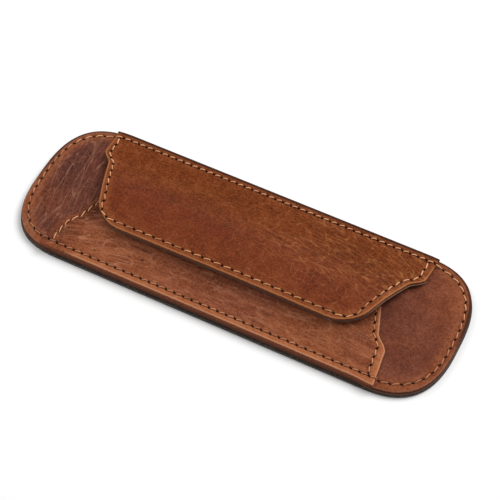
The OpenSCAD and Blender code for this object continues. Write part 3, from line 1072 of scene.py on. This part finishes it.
def dark_leather():
    """The back: nearly black leather with a coarse even grain, and grey flecks where it catches light."""
    n = Nodes("dark_back_leather")
    place = n.attribute("rest", "Vector")
    pebble = n.cells(place, 1.25)
    cloudy = n.noise(place, 0.5, 4.0, 0.6)
    colour = n.ramp(cloudy, [(0.3, (0.016, 0.010, 0.007)), (0.75, (0.050, 0.032, 0.022))])
    fleck = n.range(n.noise(place, 1.1, 2.0, 0.6), 0.54, 0.66)
    colour = n.tint(colour, fleck, (0.14, 0.10, 0.075), 0.6)
    # Needle holes painted near black: painted shade inside the holes
    colour = n.tint(colour, n.slits("seam_a")[0], (0.004, 0.003, 0.003), 0.8)
    normal = n.bump(n.range(pebble, 0.1, 0.7, 1.0, 0.0), 0.00016, 0.9)
    normal = n.bump(n.noise(place, 4.0, 2.0), 0.00006, 0.7, normal)
    rough = n.range(pebble, 0.1, 0.8, 0.48, 0.68)
    return n.finished(colour, rough, Normal=normal)


def suede(name, dark, pale):
    """Flesh-side leather with a short nap, and an edge darkened all round but where the pale rim-line
    attribute is high.
    """
    n = Nodes(name)
    place = n.attribute("rest", "Vector")
    nap = n.noise(place, 1.5, 5.0, 0.75)
    mottle = n.noise(place, 0.25, 4.0, 0.65)
    value = n.vary(n.vary(n.attribute("tone"), nap, 0.9), mottle, 0.8)
    colour = n.ramp(value, [(0.25, dark), (0.8, pale)])
    # The edge is darkened all round but at the right end
    dark_edge_share = n.math("SUBTRACT", 1.0, n.attribute("wear_and_highlight"))
    colour = n.tint(colour, n.times(n.range(n.attribute("rim"), 0.3, 0.9, 1.0, 0.0), dark_edge_share), EDGE_DARK)
    # Needle holes painted dark: painted shade inside the holes
    colour = n.tint(colour, n.slits("seam_a")[0], (0.02, 0.01, 0.006), 0.85)
    rough = n.range(nap, 0.2, 0.8, 0.78, 0.92)
    return n.finished(colour, rough, Normal=n.bump(nap, 0.00012, 0.8), Sheen_Weight=0.25)


def board_edge():
    """The board's edge between the leathers, dyed and burnished with them."""
    n = Nodes("board_edge")
    place = n.node("TexCoord").outputs["Object"]
    fibre = n.noise(n.mapped(place, (400, 400, 3200)), 1.0, 4.0, 0.7)
    colour = n.ramp(fibre, [(0.3, (0.045, 0.018, 0.010)), (0.75, (0.11, 0.045, 0.024))])
    rough = n.range(fibre, 0.2, 0.8, 0.55, 0.75)
    return n.finished(colour, rough, Normal=n.bump(fibre, 0.0001, 0.7))


def waxed_thread(name, dark, middle, pale):
    """Two-ply waxed linen thread, in its own three tones, with a shadow where it goes into each hole."""
    n = Nodes(name)
    place = n.attribute("rest", "Vector")
    hair = n.noise(place, 6.0, 3.0, 0.6)
    value = n.vary(n.noise(place, 0.12, 2.0), hair, 0.7)
    value = n.math("MULTIPLY_ADD", n.attribute("fresh"), 0.3, value)
    colour = n.ramp(value, [(0.25, dark), (0.55, middle), (0.85, pale)])
    from_middle = n.math("ABSOLUTE", n.math("SUBTRACT", n.math("FRACT", n.attribute("along")), 0.5))
    colour = n.tint(colour, n.range(from_middle, 0.42, 0.5), (0.05, 0.02, 0.01), 0.8)
    rough = n.range(hair, 0.2, 0.8, 0.42, 0.62)
    return n.finished(colour, rough, Normal=n.bump(hair, 0.00008, 0.8), Sheen_Weight=0.15)


def magnet_metal():
    """The hidden magnets' plating."""
    n = Nodes("magnet_metal")
    swirl = n.noise(n.node("TexCoord").outputs["Object"], 900.0, 2.0)
    colour = n.ramp(swirl, [(0.3, (0.42, 0.42, 0.44)), (0.7, (0.6, 0.6, 0.62))])
    rough = n.range(swirl, 0.2, 0.8, 0.25, 0.4)
    return n.finished(colour, rough, Metallic=1.0)


EDGE_BROWN = (0.16, 0.046, 0.023)
EDGE_DARK = (0.060, 0.020, 0.011)
EDGE_DARK_RIM = (0.030, 0.010, 0.005)
FLESH = (0.20, 0.095, 0.048)


def tones(dark, middle, pale):
    """A leather's colour ramp."""
    return list(zip((0.10, 0.50, 0.95), (dark, middle, pale)))


FACE_WARM = tones((0.0731, 0.0156, 0.0056), (0.1591, 0.0374, 0.0126), (0.2838, 0.0897, 0.0364))
FACE_COOL = tones((0.0602, 0.0182, 0.0130), (0.1440, 0.0435, 0.0280), (0.2300, 0.082, 0.054))
FACE_LIGHT = (0.33, 0.15, 0.09)
POCKET_WARM = tones((0.1128, 0.0262, 0.0078), (0.2397, 0.0640, 0.0210), (0.380, 0.1240, 0.047))
POCKET_COOL = tones((0.1034, 0.0278, 0.0148), (0.2162, 0.0610, 0.0308), (0.3196, 0.109, 0.061))
POCKET_LIGHT = (0.50, 0.22, 0.118)
FLAP_WARM = tones((0.0714, 0.0128, 0.002), (0.1640, 0.0355, 0.0066), (0.2850, 0.0830, 0.031))
FLAP_COOL = tones((0.062, 0.0115, 0.0045), (0.146, 0.0275, 0.009), (0.232, 0.053, 0.019))
FLAP_LIGHT = (0.38, 0.145, 0.050)


def dress(piece, material):
    piece.data.materials.clear()
    piece.data.materials.append(material)


# ------ the object

bright_thread = waxed_thread("bright_thread", (0.32, 0.11, 0.038), (0.63, 0.27, 0.105), (0.83, 0.44, 0.22))
worn_thread = waxed_thread("worn_thread", (0.25, 0.082, 0.030), (0.48, 0.18, 0.072), (0.72, 0.34, 0.16))
magnet_material = magnet_metal()

dress(face_leather(), grain_leather("face_grain", FACE_WARM, FACE_COOL, FACE_LIGHT))
dress(back_leather(), dark_leather())
dress(pocket_leather(), grain_leather("pocket_grain", POCKET_WARM, POCKET_COOL, POCKET_LIGHT, cross=1.3))
flap_material = grain_leather("flap_grain", FLAP_WARM, FLAP_COOL, FLAP_LIGHT, cross=1.7, dark_rim_reach=2.3)
dress(flap_leather(), flap_material)
dress(flap_lining(), suede("lining_suede", (0.20, 0.09, 0.045), (0.38, 0.20, 0.11)))
bright_rows = [flap_thread(), *pocket_threads()]
worn_rows = [edge_thread(), edge_thread_back(), flap_thread_back()]
for rows, material in ((bright_rows, bright_thread), (worn_rows, worn_thread)):
    for piece in rows:
        dress(piece, material)
dress(frame["nodes"]["base_board"], board_edge())
for node in ("pocket_magnet", "flap_magnet"):
    dress(frame["nodes"][node], magnet_material)


# ------ stage

VIEW_AZIMUTH, VIEW_ELEVATION = math.radians(26.7), math.radians(55.3)
VIEW_DISTANCE = 0.722
VIEW_TARGET = Vector((0.0006, 0.0059, 0.0))
LENS, SENSOR = 121.75, 36.0


def floor():
    mesh = bpy.data.meshes.new("floor")
    reach = 4.0
    corners = [(-reach, -reach, 0), (reach, -reach, 0), (reach, reach, 0), (-reach, reach, 0)]
    mesh.from_pydata(corners, [], [(0, 1, 2, 3)])
    plane = add_object("floor", mesh)
    dress(plane, Nodes("pale_floor").finished((0.93, 0.93, 0.93, 1), 0.9))


def put(thing, place, way):
    """Puts a light or camera in its place, looking along way."""
    thing.location = place
    thing.rotation_mode = "QUATERNION"
    thing.rotation_quaternion = way.to_track_quat("-Z", "Y")


def soft_light(name, place, size, power):
    """A rectangular light that faces the case."""
    data = bpy.data.lights.new(name, "AREA")
    data.shape = "RECTANGLE"
    data.size, data.size_y = size
    data.energy = power
    put(add_object(name, data), place, -Vector(place))


def world(strength):
    sky = bpy.data.worlds.new("pale_room")
    sky.use_nodes = True
    inputs = sky.node_tree.nodes["Background"].inputs
    inputs["Color"].default_value = (1, 1, 1, 1)
    inputs["Strength"].default_value = strength
    bpy.context.scene.world = sky


def camera():
    """The view of the photo: its angle, distance and lens."""
    data = bpy.data.cameras.new("camera")
    data.lens, data.sensor_width = LENS, SENSOR
    data.clip_start, data.clip_end = 0.01, 20
    back = Vector((
        math.sin(VIEW_AZIMUTH) * math.cos(VIEW_ELEVATION),
        -math.cos(VIEW_AZIMUTH) * math.cos(VIEW_ELEVATION),
        math.sin(VIEW_ELEVATION),
    ))
    eye = add_object("camera", data)
    put(eye, VIEW_TARGET + back * VIEW_DISTANCE, -back)
    bpy.context.scene.camera = eye


floor()
world(0.42)
soft_light("key", (0.35, 0.45, 0.82), (0.6, 0.6), 7.6)
soft_light("fill", (-0.60, -0.10, 0.70), (0.7, 0.7), 2.4)
camera()
bpy.context.scene.view_settings.view_transform = "Standard"
